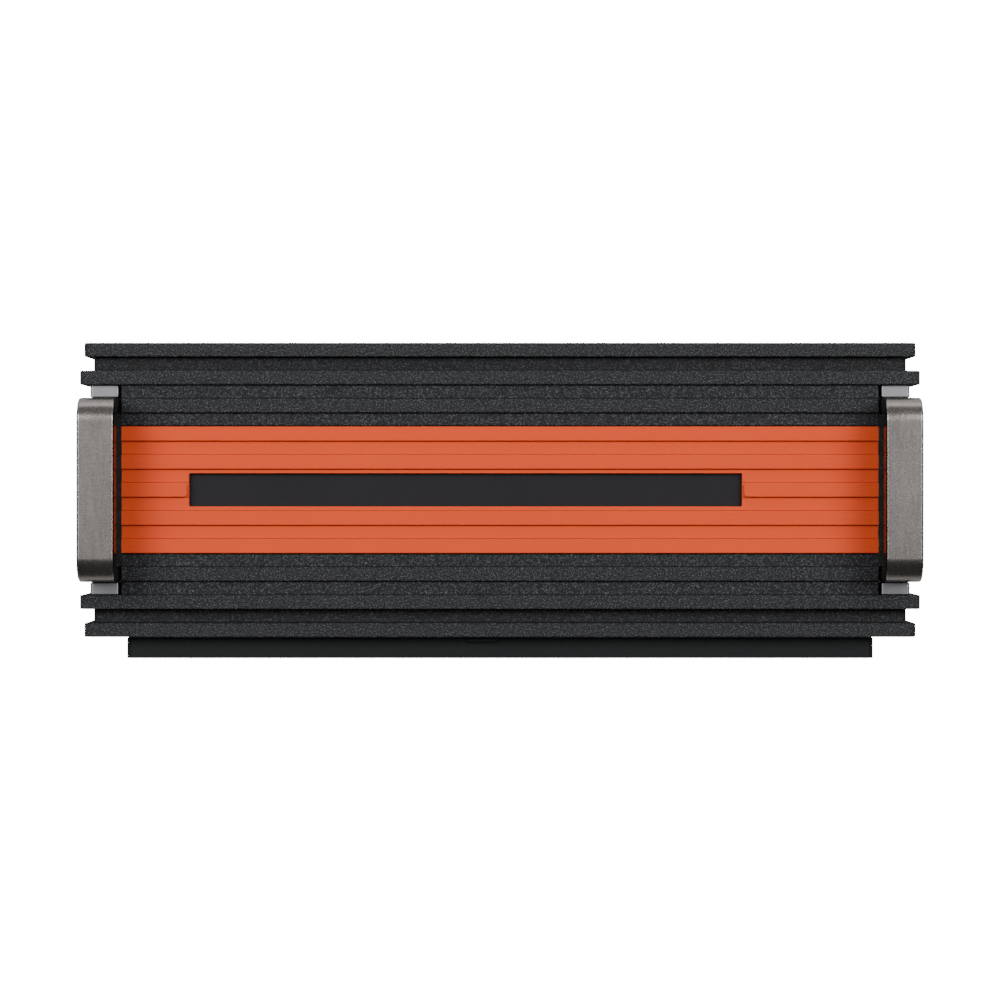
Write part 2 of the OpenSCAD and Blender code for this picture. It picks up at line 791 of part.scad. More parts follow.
module fan_frame(x) {
    color("#1a1b1c") translate([x, 0, fan_at[1]]) {
        along_y(fan_y0, tray_y0) difference() {
            centred_rect([0, 0], 80, 80, 4);
            circle(fan_r - 0.4);
            for (u = [-35.7, 35.7], v = [-35.7, 35.7]) translate([u, v]) circle(2.2);
        }
        along_y(fan_y0, fan_y0 + 2.5) {
            circle(16);
            for (a = [30:120:270]) rotate(a) translate([0, -2]) square([fan_r, 4]);
        }
        rod_y(0, 0, fan_y0 + 2.5, fan_y0 + 12, 2);
    }
}

module fan_rotor(x) {
    y0 = fan_y0 + 3.5;
    y1 = tray_y0 - 3;
    color("#222325") translate([x, 0, fan_at[1]]) difference() {
        union() {
            rod_y(0, 0, y0, y1, 15.5);
            for (a = [0:360 / 7:359]) rotate([0, a, 0])
                translate([0, (y0 + y1) / 2, 24.5]) rotate([0, 0, 52]) cube([21, 1.6, 22], center = true);
        }
        rod_y(0, 0, y0 - slop, y0 + 10, 2.05);
    }
}

module fan_guard(x) {
    color(steel) translate([x, 0, fan_at[1]]) along_y(tray_y1, tray_y1 + 1.6) {
        for (r = [10, 20, 30, 41]) difference() {
            circle(r);
            circle(r - 2);
        }
        circle(3);
        for (a = [45:90:359]) rotate(a) translate([0, -1]) square([40, 2]);
    }
}

module fan_frame_left() fan_frame(-fan_at[0]);
module fan_frame_right() fan_frame(fan_at[0]);
module fan_rotor_left() fan_rotor(-fan_at[0]);
module fan_rotor_right() fan_rotor(fan_at[0]);
module fan_guard_left() fan_guard(-fan_at[0]);
module fan_guard_right() fan_guard(fan_at[0]);

module ac_inlet() {
    color("#18191a") difference() {
        union() {
            along_y(60, tray_y1) centred_rect(inlet_at, 30, 23, 2);
            along_y(tray_y0 - 2, tray_y0) centred_rect(inlet_at, 42, 30, 3);
        }
        along_y(63.5, tray_y1 + slop) centred_rect(inlet_at, 25, 17, 3);
    }
    color(silver) for (p = [[-7, -2], [7, -2], [0, 2]])
        along_y(62, tray_y1 - 8) centred_rect([inlet_at[0] + p[0], inlet_at[1] + p[1]], 2, 4, 0.3);
}

module solar_inlets() {
    color("#c79a2e") difference() {
        union() {
            along_y(62, tray_y1) centred_rect(solar_at, 44, 18, 2);
            along_y(tray_y0 - 2, tray_y0) centred_rect(solar_at, 52, 24, 3);
        }
        for (x = [-15.6, -8.4, 8.4, 15.6]) rod_y(solar_at[0] + x, solar_at[1], 66, tray_y1 + slop, 2);
    }
}

module expansion_socket() {
    color("#18191a") difference() {
        union() {
            along_y(60, tray_y1) centred_rect(expansion_at, 66, 22, 2);
            along_y(tray_y0 - 2, tray_y0) centred_rect(expansion_at, 76, 30, 3);
        }
        for (x = [-24, -8, 8, 24], z = [-4.5, 4.5])
            rod_y(expansion_at[0] + x, expansion_at[1] + z, 66, tray_y1 + slop, 1.9);
    }
}

module breaker() {
    color("#1d1e20") difference() {
        union() {
            rod_y(breaker_at[0], breaker_at[1], 62, tray_y1 + 2, 6);
            rod_y(breaker_at[0], breaker_at[1], tray_y1, tray_y1 + 2, 8.5);
        }
        rod_y(breaker_at[0], breaker_at[1], 68, tray_y1 + 3, 4.2);
    }
}

module breaker_button() {
    color("#b5372a") rod_y(breaker_at[0], breaker_at[1], 72, tray_y1 + 4.5, 4);
}

// ---------------------------------------------------------------- inside

function cell_x(i) = (i - (cell_n - 1) / 2) * cell_pitch;

module battery_cells() {
    color("#2f5f9e") for (i = [0:cell_n - 1]) translate([cell_x(i), 0, cell_z]) {
        translate([-cell[0] / 2, -cell[1] / 2, 0]) cube(cell);
        for (y = [-40, 40]) translate([0, y, cell[2]]) cylinder(r = 5, h = 2.5);
    }
}

module busbars() {
    z = cell_z + cell[2] + 2.5;
    color(copper) {
        for (i = [0:cell_n - 2]) let (y = i % 2 == 0 ? 40 : -40)
            box(cell_x(i) - 6, cell_x(i + 1) + 6, y - 8, y + 8, z, z + 2);
        box(cell_x(0) - 8, cell_x(0) + 8, -48, -32, z, z + 2);
        box(cell_x(cell_n - 1) - 8, cell_x(cell_n - 1) + 8, -48, -32, z, z + 2);
    }
}

module pack_frame() {
    end_x = cell_x(cell_n - 1) + cell[0] / 2 + 1;
    color("#b9bcc0") difference() {
        union() {
            box(-end_x - 3, end_x + 3, -70, 70, tray_z, tray_z + 3);
            both_sides() box(end_x, end_x + 3, -70, 70, tray_z, deck_z);
            box(-end_x - 3, end_x + 3, -70, 70, deck_z - 2.5, deck_z);
        }
        for (i = [-3:3]) translate([i * 60, 0, deck_z - 5]) cylinder(r = 9, h = 8);
    }
}

module bms_board() {
    z = deck_z - 9;
    color(board_green) {
        box(-150, 150, -24, 24, z, z + 1.6);
        for (x = [-144, 144], y = [-19, 19]) translate([x, y, z + 1.6]) cylinder(r = 2.5, h = 4.9);
    }
    color("#222") for (i = [-5:5]) box(i * 24 - 5, i * 24 + 5, -6, 6, z + 1.6, z + 4);
}

module inverter_board() {
    z = deck_z + 8;
    color(board_green) {
        box(-205, 205, -68, 46, z, z + 2);
        for (x = [-196, 0, 196], y = [-60, 38]) translate([x, y, deck_z]) cylinder(r = 3, h = 8);
    }
    color("#31343a") for (i = [-5:5]) translate([i * 17, -56, z + 2]) cylinder(r = 7.5, h = 34);
    color("#d9b24c") for (x = [-120, 120]) box(x - 16, x + 16, -64, -44, z + 2, z + 28);
}

module heat_sinks() {
    z = deck_z + 10;
    color(silver) for (x = [-120, 0, 120]) translate([x, 0, z]) {
        box(-45, 45, 8, 12, 0, 44);
        for (i = [0:8]) box(-45 + i * 11, -43 + i * 11, 12, 34, 0, 44);
    }
}

module power_coils() {
    z = deck_z + 10;
    color(copper) for (x = [-150, -90, 90, 150]) translate([x, -20, z])
        rotate_extrude() translate([13, 8]) circle(8);
    color("#3a3d33") translate([0, -16, z]) {
        box(-30, 30, -20, 16, 0, 40);
    }
}

placed() upper_shell();
placed() lower_shell();
placed() shell_gasket();
placed() top_band();
placed() nameplate_strip();
placed() front_fascia();
placed() fascia_gasket();
placed() rear_panel();
placed() fascia_screws();
placed() rear_screws();
placed() shell_screws();
placed() rubber_feet();
placed() foot_screws();
placed() handle_left();
placed() handle_right();
placed() hinge_ears_left();
placed() hinge_ears_right();
placed() hinge_pins();
placed() friction_washers();
placed() display_lens();
placed() display_module();
placed() ac_socket_1();
placed() ac_socket_2();
placed() ac_socket_3();
placed() ac_socket_4();
placed() usb_a_ports();
placed() usb_c_ports();
placed() car_socket();
placed() car_socket_cap();
placed() cover_pins();
placed() dc_jacks();
placed() power_button();
placed() ac_button();
placed() dc_button();
placed() light_button();
placed() button_rings();
placed() light_lens();
placed() light_board();
placed() control_board();
placed() fan_frame_left();
placed() fan_frame_right();
placed() fan_rotor_left();
placed() fan_rotor_right();
placed() fan_guard_left();
placed() fan_guard_right();
placed() ac_inlet();
placed() solar_inlets();
placed() expansion_socket();
placed() ac_inlet_cover();
placed() solar_cover();
placed() expansion_cover();
placed() breaker();
placed() breaker_button();
placed() battery_cells();
placed() busbars();
placed() pack_frame();
placed() bms_board();
placed() inverter_board();
placed() heat_sinks();
placed() power_coils();
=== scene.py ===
"""Portable power station: the finished surfaces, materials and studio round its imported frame."""

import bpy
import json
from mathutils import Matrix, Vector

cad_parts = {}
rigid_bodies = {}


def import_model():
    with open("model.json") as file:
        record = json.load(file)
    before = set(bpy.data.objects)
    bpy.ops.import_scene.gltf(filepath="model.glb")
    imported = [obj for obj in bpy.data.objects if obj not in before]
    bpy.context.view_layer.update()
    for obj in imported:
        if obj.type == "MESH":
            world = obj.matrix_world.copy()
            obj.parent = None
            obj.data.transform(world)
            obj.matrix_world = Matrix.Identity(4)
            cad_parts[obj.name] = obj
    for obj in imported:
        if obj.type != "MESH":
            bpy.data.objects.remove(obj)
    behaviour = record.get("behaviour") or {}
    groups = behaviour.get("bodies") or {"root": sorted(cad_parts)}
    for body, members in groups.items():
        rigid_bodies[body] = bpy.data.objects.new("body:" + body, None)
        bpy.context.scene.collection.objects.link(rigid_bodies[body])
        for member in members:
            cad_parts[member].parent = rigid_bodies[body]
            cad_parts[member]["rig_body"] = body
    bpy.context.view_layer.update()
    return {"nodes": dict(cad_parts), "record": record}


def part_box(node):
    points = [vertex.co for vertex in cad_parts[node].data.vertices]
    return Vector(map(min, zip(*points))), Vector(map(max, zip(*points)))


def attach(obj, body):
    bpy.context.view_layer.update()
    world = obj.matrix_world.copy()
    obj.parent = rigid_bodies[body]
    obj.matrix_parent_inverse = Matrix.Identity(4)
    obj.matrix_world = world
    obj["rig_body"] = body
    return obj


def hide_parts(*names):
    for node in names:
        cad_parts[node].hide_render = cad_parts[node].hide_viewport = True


bl_info = {
    "name": "Portable power station",
    "version": (1, 0, 0),
    "blender": (4, 5, 0),
    "location": "View3D > Sidebar > Power station",
    "description": "Dresses the packed frame of a ribbed power station and sets up its studio",
    "category": "Object",
}

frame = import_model()

import json
import math

import bmesh
import bpy
from bpy.props import FloatProperty, FloatVectorProperty, PointerProperty
from mathutils import Matrix, Vector
from mathutils.bvhtree import BVHTree

MM = 0.001
ALONG, UP = Vector((0, 1, 0)), Vector((0, 0, 1))
FRONT_FACING = Matrix.Rotation(math.pi / 2, 4, "X")   # turns local +Z to the front, -Y
REAR_FACING = Matrix.Rotation(-math.pi / 2, 4, "X")   # turns local +Z to the back, +Y

RIB_PITCH = 17.5 * MM
RIB_WIDTH = 8.8 * MM
CREASE_WIDTH = 0.5 * MM       # painted shade line in the foot of a rib
POCKET_BACK = 235.8 * MM      # the handle pockets' painted shade, from the middle outwards
POCKET_MOUTH = 262.3 * MM
POCKET_FADE = 10 * MM
POCKET_HALF = 66.2 * MM
POCKET_TOP = 296.5 * MM
HANDLE_INNER = 237.6 * MM     # the handles' sides closer to the middle than this get painted shade
SHARP_ANGLE = math.radians(38)
STRAY = 0.7                   # how far a rounded corner may be from the surface, in radii
FLANGE = 1.6 * MM             # how far a button's flange stands out from its cap
CAMERA_SHIFT = -0.0101
SKY_AS_SEEN = 16.5
SKY_FRONT, SKY_REAR = 0.09, 0.3


# ---------------------------------------------------------------- settings

def colour_setting(name, description, default):
    return FloatVectorProperty(
        name=name, description=description, default=default, size=3, min=0, max=1, subtype="COLOR"
    )


def length_setting(name, description, default):
    return FloatProperty(name=name, description=description, default=default, min=0, unit="LENGTH")


class StationColours(bpy.types.PropertyGroup):
    """Colours that a user would change."""

    shell: colour_setting("Shell", "Ribbed casing under its texture", (0.0105, 0.0113, 0.013))
    fleck: colour_setting("Shell flecks", "Lighter flecks in the casing's texture", (0.15, 0.158, 0.172))
    band: colour_setting("Top band", "Moulded band and the rings round the buttons", (0.80, 0.088, 0.028))
    fascia: colour_setting("Fascia", "Front fascia and rear panel", (0.0088, 0.0097, 0.0104))
    handle: colour_setting("Handles", "Blasted handle metal", (0.25, 0.232, 0.22))
    ear: colour_setting("Hinge ears", "Satin metal of the hinge ears", (0.295, 0.295, 0.312))
    display: colour_setting("Display", "Lit marks on the display", (0.55, 0.86, 1.0))


class StationEdges(bpy.types.PropertyGroup):
    """Radii of the broken edges."""

    shell: length_setting("Shell", "Edge radius of the ribs", 0.8 * MM)
    band: length_setting("Band", "Edge radius of the top band", 0.45 * MM)
    handle: length_setting("Handles", "Edge radius of the handles", 1.7 * MM)
    ear: length_setting("Ears", "Edge radius of the hinge ears", 0.7 * MM)
    panel: length_setting("Panels", "Edge radius of the fascia and the rear panel", 0.4 * MM)
    small: length_setting("Small parts", "Edge radius of sockets, screws and covers", 0.2 * MM)


class StationStudio(bpy.types.PropertyGroup):
    """The camera and the lights."""

    camera_height: length_setting("Camera height", "Camera above the top ribs", 2.2)
    view_width: length_setting("View width", "Width seen at the top ribs", 0.6232)
    side_power: FloatProperty(
        name="Side lights", description="Power of each light beside the camera", default=42.5, unit="POWER"
    )
    top_power: FloatProperty(
        name="Top light", description="Power of the overhead light", default=5, unit="POWER"
    )
    rear_power: FloatProperty(
        name="Rear light", description="Power of the low rear light", default=8, unit="POWER"
    )
    floor_glow: FloatProperty(name="Floor glow", description="How bright the floor looks", default=16)


def colours():
    return bpy.context.scene.station_colours


def edges():
    return bpy.context.scene.station_edges


# ---------------------------------------------------------------- shader maths

class Value:
    """A shader socket that can be used in Python arithmetic."""

    def __init__(self, nodes, socket):
        self.nodes = nodes
        self.socket = socket

    def __add__(self, other):
        return self.nodes.apply("ADD", self, other)

    __radd__ = __add__

    def __sub__(self, other):
        return self.nodes.apply("SUBTRACT", self, other)

    def __rsub__(self, other):
        return self.nodes.apply("SUBTRACT", other, self)

    def __mul__(self, other):
        return self.nodes.apply("MULTIPLY", self, other)

    __rmul__ = __mul__

    def clamped(self):
        """The value held between 0 and 1."""
        return self.nodes.node("ShaderNodeClamp", {"Value": self})


class Nodes:
    """The shader nodes of a material or of the world."""

    def __init__(self, tree):
        self.tree = tree

    def node(self, kind, inputs=None, output=0, **settings):
        """Adds a node: its settings first, then the values or links of its sockets."""
        made = self.tree.nodes.new(kind)
        for name, value in settings.items():
            setattr(made, name, value)
        for name, value in (inputs or {}).items():
            self.feed(made.inputs[name], value)
        return Value(self, made.outputs[output])

    def feed(self, socket, value):
        if isinstance(value, Value):
            self.tree.links.new(value.socket, socket)
        else:
            socket.default_value = value

    def apply(self, operation, *values):
        """One shader maths step on numbers or values."""
        return self.node("ShaderNodeMath", dict(enumerate(values)), operation=operation)


class Finish(Nodes):
    """A material and the nodes that make it."""

    def __init__(self, name):
        self.material = bpy.data.materials.new(name)
        self.material.use_nodes = True
        super().__init__(self.material.node_tree)
        self.shader = next(n for n in self.tree.nodes if n.type == "BSDF_PRINCIPLED")
        self.place = self.node("ShaderNodeTexCoord", output="Object")

    def set(self, **inputs):
        """Sets or links the shader's sockets, with _ for a space in their names."""
        for name, value in inputs.items():
            self.feed(self.shader.inputs[name.replace("_", " ")], value)

    def noise(self, size, detail=2.0, stretch=(1, 1, 1)):
        """Noise between 0 and 1 whose lumps are about size metres across."""
        place = self.place
        if tuple(stretch) != (1, 1, 1):
            place = self.node("ShaderNodeMapping", {"Vector": place, "Scale": stretch})
        return self.node(
            "ShaderNodeTexNoise", {"Vector": place, "Scale": 1 / size, "Detail": detail}, output="Fac"
        )

    def parts(self):
        """How far out to either side, how far behind the middle rib and how high a point is."""
        x, y, z = (self.node("ShaderNodeSeparateXYZ", {0: self.place}, output=i) for i in range(3))
        return self.apply("ABSOLUTE", x), y - middle("top_band").y, z

    def ribbing(self):
        """Where a point lies on the ribs, as masks for painted shade: in the foot of a wall, in a groove, in
        an outer deep groove.
        """
        y = self.parts()[1]
        past = self.apply("PINGPONG", y, RIB_PITCH / 2) - RIB_WIDTH / 2
        crease = (1 - self.apply("ABSOLUTE", past - CREASE_WIDTH * 0.6) * (1 / CREASE_WIDTH)).clamped()
        groove = self.apply("GREATER_THAN", past, 0.0)
        deep = groove * self.apply("GREATER_THAN", self.apply("ABSOLUTE", y), 4 * RIB_PITCH)
        return crease, groove, deep

    def mixed(self, amount, first, second):
        """A colour between two colours."""
        ends = [c if isinstance(c, Value) else (*c, 1.0) for c in (first, second)]
        return self.node("ShaderNodeMix", {0: amount, 6: ends[0], 7: ends[1]}, output=2, data_type="RGBA")

    def relief(self, height, depth, after=None):
        """A Bump normal whose relief is depth metres for a height of 1."""
        inputs = {"Height": height, "Distance": depth, "Strength": 1.0}
        if after is not None:
            inputs["Normal"] = after
        return self.node("ShaderNodeBump", inputs)


def darker(colour, factor):
    return tuple(channel * factor for channel in colour[:3])


# ---------------------------------------------------------------- finishes

def grained(name, colour, roughness, metallic=0.0, grain=0.4 * MM, depth=0.02 * MM, mottle=0.12, gloss=0.5):
    """A moulded or blasted surface: a fine grain, slow changes of tone and faint smudges."""
    f = Finish(name)
    fine = f.noise(grain, 2.0)
    broad = f.noise(45 * MM, 3.0)
    smudge = f.noise(14 * MM, 4.0)
    tone = (0.5 + (fine - 0.5) * 1.6 + (broad - 0.5) * 0.7).clamped()
    f.set(
        Base_Color=f.mixed(tone, darker(colour, 1 - mottle), darker(colour, 1 + mottle)),
        Roughness=(roughness + (smudge - 0.5) * 0.16 + (fine - 0.5) * 0.1).clamped(),
        Normal=f.relief(fine, depth),
        Metallic=metallic,
        Specular_IOR_Level=gloss,
    )
    return f.material


def shell_powder(name):
    """Black casing with a speckled powder texture, with painted shade in the feet of the rib walls, the
    grooves, the outer deep grooves and the handle pockets, where the flecks fade too.
    """
    f = Finish(name)
    c = colours()
    lump = f.noise(0.85 * MM, 2.5)
    pit = f.noise(0.45 * MM, 1.0)
    broad = f.noise(60 * MM, 3.0)
    crease, groove, deep = f.ribbing()
    x, y, height = f.parts()
    pocket = f.apply("GREATER_THAN", x, POCKET_BACK) * ((POCKET_MOUTH - x) * (1 / POCKET_FADE)).clamped()
    pocket = pocket * f.apply("LESS_THAN", f.apply("ABSOLUTE", y), POCKET_HALF)
    pocket = pocket * f.apply("LESS_THAN", height, POCKET_TOP)
    # painted shade: darkens the feet of the rib walls, the grooves, the outer deep grooves and the handle
    # pockets, and fades the flecks there
    painted_shade = (crease * 0.9 + groove * 0.14 + deep * 0.42 + pocket * 0.8).clamped()
    fleck = ((lump - 0.52) * 5.0 + (pit - 0.5) * 2.6).clamped()
    base = f.mixed((0.5 + (broad - 0.5) * 1.4).clamped(), darker(c.shell, 0.86), darker(c.shell, 1.16))
    base = f.mixed(painted_shade, base, darker(c.shell, 0.25))
    f.set(
        Base_Color=f.mixed(fleck * (1 - painted_shade) * 0.72, base, tuple(c.fleck)),
        Roughness=(0.68 - fleck * 0.12 + (broad - 0.5) * 0.1).clamped(),
        Normal=f.relief(lump + pit * 0.45, 0.3 * MM),
        Specular_IOR_Level=0.26,
    )
    return f.material


def band_plastic(name):
    """Moulded orange, with painted shade in the feet of the ribs."""
    f = Finish(name)
    c = colours()
    fine = f.noise(0.35 * MM, 2.0)
    broad = f.noise(45 * MM, 3.0)
    crease = f.ribbing()[0]
    tone = (0.5 + (fine - 0.5) * 1.2 + (broad - 0.5) * 0.7).clamped()
    plain = f.mixed(tone, darker(c.band, 0.95), darker(c.band, 1.05))
    f.set(
        # painted shade: the feet of the ribs are darkened
        Base_Color=f.mixed(crease * 0.8, plain, darker(c.band, 0.4)),
        Roughness=(0.56 + (broad - 0.5) * 0.16 + (fine - 0.5) * 0.1).clamped(),
        Normal=f.relief(fine, 0.022 * MM),
        Specular_IOR_Level=0.06,
    )
    return f.material


def blasted_handle(name):
    """Gunmetal with a blasted sparkle and faint drawn streaks, with painted shade blackening the side towards
    the band.
    """
    f = Finish(name)
    c = colours()
    spark = f.noise(0.62 * MM, 1.5)
    streak = f.noise(2.4 * MM, 2.0, stretch=(1, 0.16, 1))
    broad = f.noise(30 * MM, 2.0)
    tone = (0.5 + (spark - 0.5) * 1.5 + (streak - 0.5) * 0.7 + (broad - 0.5) * 0.5).clamped()
    inner = f.apply("LESS_THAN", f.parts()[0], HANDLE_INNER)
    metal = f.mixed(tone, darker(c.handle, 0.72), darker(c.handle, 1.3))
    f.set(
        # painted shade: the handle's side towards the band is blackened
        Base_Color=f.mixed(inner, metal, darker(c.handle, 0.12)),
        Metallic=1.0,
        Roughness=(0.27 + (spark - 0.5) * 0.2 + (broad - 0.5) * 0.06).clamped(),
        Normal=f.relief(spark, 0.02 * MM),
    )
    return f.material


def satin_ear(name):
    """Pale satin metal, brushed across."""
    f = Finish(name)
    c = colours()
    brush = f.noise(0.5 * MM, 2.0, stretch=(0.12, 1, 1))
    broad = f.noise(12 * MM, 2.0)
    tone = (0.5 + (brush - 0.5) * 1.1 + (broad - 0.5) * 0.6).clamped()
    f.set(
        Base_Color=f.mixed(tone, darker(c.ear, 0.86), darker(c.ear, 1.1)),
        Metallic=1.0,
        Roughness=(0.36 + (brush - 0.5) * 0.2).clamped(),
        Normal=f.relief(brush, 0.01 * MM),
    )
    return f.material


def turned_steel(name):
    """Satin steel of screws, pins and guards."""
    f = Finish(name)
    brush = f.noise(0.35 * MM, 2.0, stretch=(1, 0.2, 1))
    broad = f.noise(6 * MM, 2.0)
    f.set(
        Base_Color=f.mixed(brush, (0.26, 0.26, 0.27), (0.5, 0.5, 0.51)),
        Metallic=1.0,
        Roughness=(0.34 + (broad - 0.5) * 0.25).clamped(),
        Normal=f.relief(brush, 0.008 * MM),
    )
    return f.material


def smoked_window(name):
    """Smoked display window with faint finger marks."""
    f = Finish(name)
    marks = f.noise(9 * MM, 4.0)
    f.set(
        Base_Color=f.mixed(marks, (0.006, 0.008, 0.010), (0.012, 0.014, 0.016)),
        Roughness=(0.06 + (marks - 0.45) * 0.28).clamped(),
        Alpha=0.42,
        Coat_Weight=0.6,
    )
    return f.material


def lit_marks(name):
    """Lit segments of the display, a little uneven like a backlight."""
    f = Finish(name)
    c = colours()
    uneven = f.noise(16 * MM, 2.0)
    glow = f.mixed(uneven, darker(c.display, 0.75), tuple(c.display))
    f.set(Base_Color=glow, Emission_Color=glow, Emission_Strength=2.4, Roughness=0.5)
    return f.material


def diffuser(name):
    """Frosted work-light lens."""
    f = Finish(name)
    frost = f.noise(0.7 * MM, 3.0)
    broad = f.noise(25 * MM, 2.0)
    f.set(
        Base_Color=f.mixed(broad, (0.74, 0.745, 0.72), (0.84, 0.84, 0.82)),
        Roughness=(0.3 + (frost - 0.5) * 0.2).clamped(),
        Normal=f.relief(frost, 0.03 * MM),
        Coat_Weight=0.3,
    )
    return f.material


def circuit(name):
    """Green solder mask with faint tracks."""
    f = Finish(name)
    tracks = f.node(
        "ShaderNodeTexBrick",
        {
            "Vector": f.place, "Scale": 90.0, "Mortar Size": 0.03,
            "Color1": (0, 0, 0, 1), "Color2": (0.25, 0.25, 0.25, 1), "Mortar": (1, 1, 1, 1),
        },
        output="Fac",
    )
    mask = f.noise(3 * MM, 2.0)
    f.set(
        Base_Color=f.mixed((tracks * 0.6 + mask * 0.2).clamped(), (0.008, 0.06, 0.03), (0.04, 0.17, 0.08)),
        Roughness=(0.35 + mask * 0.1).clamped(),
        Normal=f.relief(tracks, 0.03 * MM),
    )
    return f.material


def wrapped_cell(name):
    """Blue film shrunk over an aluminium can."""
    f = Finish(name)
    crease = f.noise(5 * MM, 3.0, stretch=(1, 1, 0.3))
    broad = f.noise(40 * MM, 2.0)
    f.set(
        Base_Color=f.mixed(broad, (0.035, 0.10, 0.28), (0.06, 0.16, 0.38)),
        Roughness=(0.28 + (crease - 0.5) * 0.2).clamped(),
        Normal=f.relief(crease, 0.15 * MM),
    )
    return f.material


def wound_copper(name):
    """Enamelled copper, wound or punched."""
    f = Finish(name)
    turn = f.node("ShaderNodeTexWave", {"Vector": f.place, "Scale": 220.0, "Distortion": 0.6}, output="Fac")
    f.set(
        Base_Color=f.mixed(turn, (0.36, 0.13, 0.05), (0.62, 0.27, 0.11)),
        Metallic=1.0,
        Roughness=(0.25 + turn * 0.2).clamped(),
        Normal=f.relief(turn, 0.1 * MM),
    )
    return f.material


def finishes():
    """How each material slot is made."""
    c = colours()
    return {
        "black_shell": shell_powder,
        "gunmetal": blasted_handle,
        "silver_metal": satin_ear,
        "screw_steel": turned_steel,
        "guard_wire": turned_steel,
        "display_glass": smoked_window,
        "lens_plastic": diffuser,
        "circuit_board": circuit,
        "cell_can": wrapped_cell,
        "copper": wound_copper,
        "lit_marks": lit_marks,
        "orange_plastic": band_plastic,
        "strip_plastic": lambda n: grained(
            n, (0.0135, 0.0122, 0.0155), 0.5, grain=0.3 * MM, mottle=0.3, gloss=0.2
        ),
        "dark_plastic": lambda n: grained(
            n, c.fascia, 0.55, grain=0.3 * MM, depth=0.018 * MM, mottle=0.16, gloss=0.2
        ),
        "grey_rubber": lambda n: grained(n, (0.09, 0.09, 0.095), 0.72, grain=0.5 * MM, depth=0.04 * MM),
        "foot_rubber": lambda n: grained(
            n, (0.014, 0.014, 0.014), 0.8, grain=0.6 * MM, depth=0.06 * MM, mottle=0.25
        ),
        "cover_rubber": lambda n: grained(
            n, (0.017, 0.018, 0.019), 0.66, grain=0.45 * MM, depth=0.03 * MM, mottle=0.2
        ),
        "washer_plastic": lambda n: grained(n, (0.58, 0.56, 0.48), 0.5),
        "display_panel": lambda n: grained(n, (0.008, 0.011, 0.014), 0.35, depth=0.004 * MM),
        "socket_plastic": lambda n: grained(n, (0.010, 0.0105, 0.011), 0.52, grain=0.3 * MM, mottle=0.15),
        "port_metal": lambda n: grained(n, (0.5, 0.5, 0.52), 0.3, metallic=1.0, depth=0.006 * MM),
        "button_plastic": lambda n: grained(n, (0.045, 0.047, 0.052), 0.44, grain=0.3 * MM, mottle=0.1),
        "button_red": lambda n: grained(n, (0.42, 0.025, 0.015), 0.4, mottle=0.08),
        "fan_plastic": lambda n: grained(n, (0.009, 0.009, 0.010), 0.42, mottle=0.2),
        "inlet_amber": lambda n: grained(n, (0.52, 0.29, 0.025), 0.42, mottle=0.08),
        "frame_metal": lambda n: grained(n, (0.5, 0.51, 0.53), 0.42, metallic=1.0, mottle=0.1),
        "legend": lambda n: grained(n, (0.62, 0.63, 0.64), 0.5, depth=0.005 * MM, mottle=0.05),
    }


def material(slot):
    """The slot's material, made the first time it is asked for."""
    name = "station_" + slot
    return bpy.data.materials.get(name) or finishes()[slot](name)


# ---------------------------------------------------------------- mesh tools

def body_of(node):
    return frame["nodes"][node]["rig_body"]


def slot_of(node):
    return next(s["material_slot"] for s in frame["record"]["subparts"] if s["node"] == node)


def middle(node):
    low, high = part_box(node)
    return (low + high) / 2


def finished(name, bm, slot, body, replaces=(), look=None):
    """Makes a bmesh into a smooth-shaded piece that rides on a body."""
    mesh = bpy.data.meshes.new(name)
    bm.to_mesh(mesh)
    bm.free()
    mesh.shade_smooth()
    mesh.materials.append(material(look or slot))
    piece = bpy.data.objects.new(name, mesh)
    bpy.context.scene.collection.objects.link(piece)
    weighted = piece.modifiers.new("Even shading", "WEIGHTED_NORMAL")
    weighted.keep_sharp = True
    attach(piece, body)
    if replaces:
        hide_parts(*replaces)
    return piece


def merged_copy(node):
    """A copy of a CAD node as whole flat faces, without the lines that split them."""
    bm = bmesh.new()
    bm.from_mesh(frame["nodes"][node].data)
    bmesh.ops.remove_doubles(bm, verts=bm.verts, dist=0.002 * MM)
    bmesh.ops.dissolve_limit(
        bm, angle_limit=math.radians(0.6), verts=bm.verts, edges=bm.edges, use_dissolve_boundaries=False
    )
    return bm


def break_edges(bm, radius, segments=2, above=-1.0):
    """Rounds the sharp edges above a height, and draws in any stray corner."""
    surface = BVHTree.FromBMesh(bm)
    sharp = [
        e for e in bm.edges
        if len(e.link_faces) == 2 and e.calc_face_angle() > SHARP_ANGLE
        and min(v.co.z for v in e.verts) > above
    ]
    bmesh.ops.bevel(
        bm, geom=sharp, offset=radius, offset_type="OFFSET", affect="EDGES", segments=segments,
        profile=0.5, material=-1, loop_slide=False, clamp_overlap=False,
    )
    for corner in bm.verts:
        nearest, _, _, distance = surface.find_nearest(corner.co)
        if distance > STRAY * radius:
            corner.co = nearest


def soften(node, name, radius, segments=2, extra=None, look=None, above=-1.0):
    """Replaces a CAD node with a copy whose edges are broken; extra adds detail to the mesh."""
    bm = merged_copy(node)
    break_edges(bm, radius, segments, above)
    if extra:
        extra(bm)
    return finished(name, bm, slot_of(node), body_of(node), (node,), look)


def added_since(bm, before):
    return [v for v in bm.verts if v not in before]


def faces_since(bm, before):
    return [face for face in bm.faces if face.verts[0] not in before]


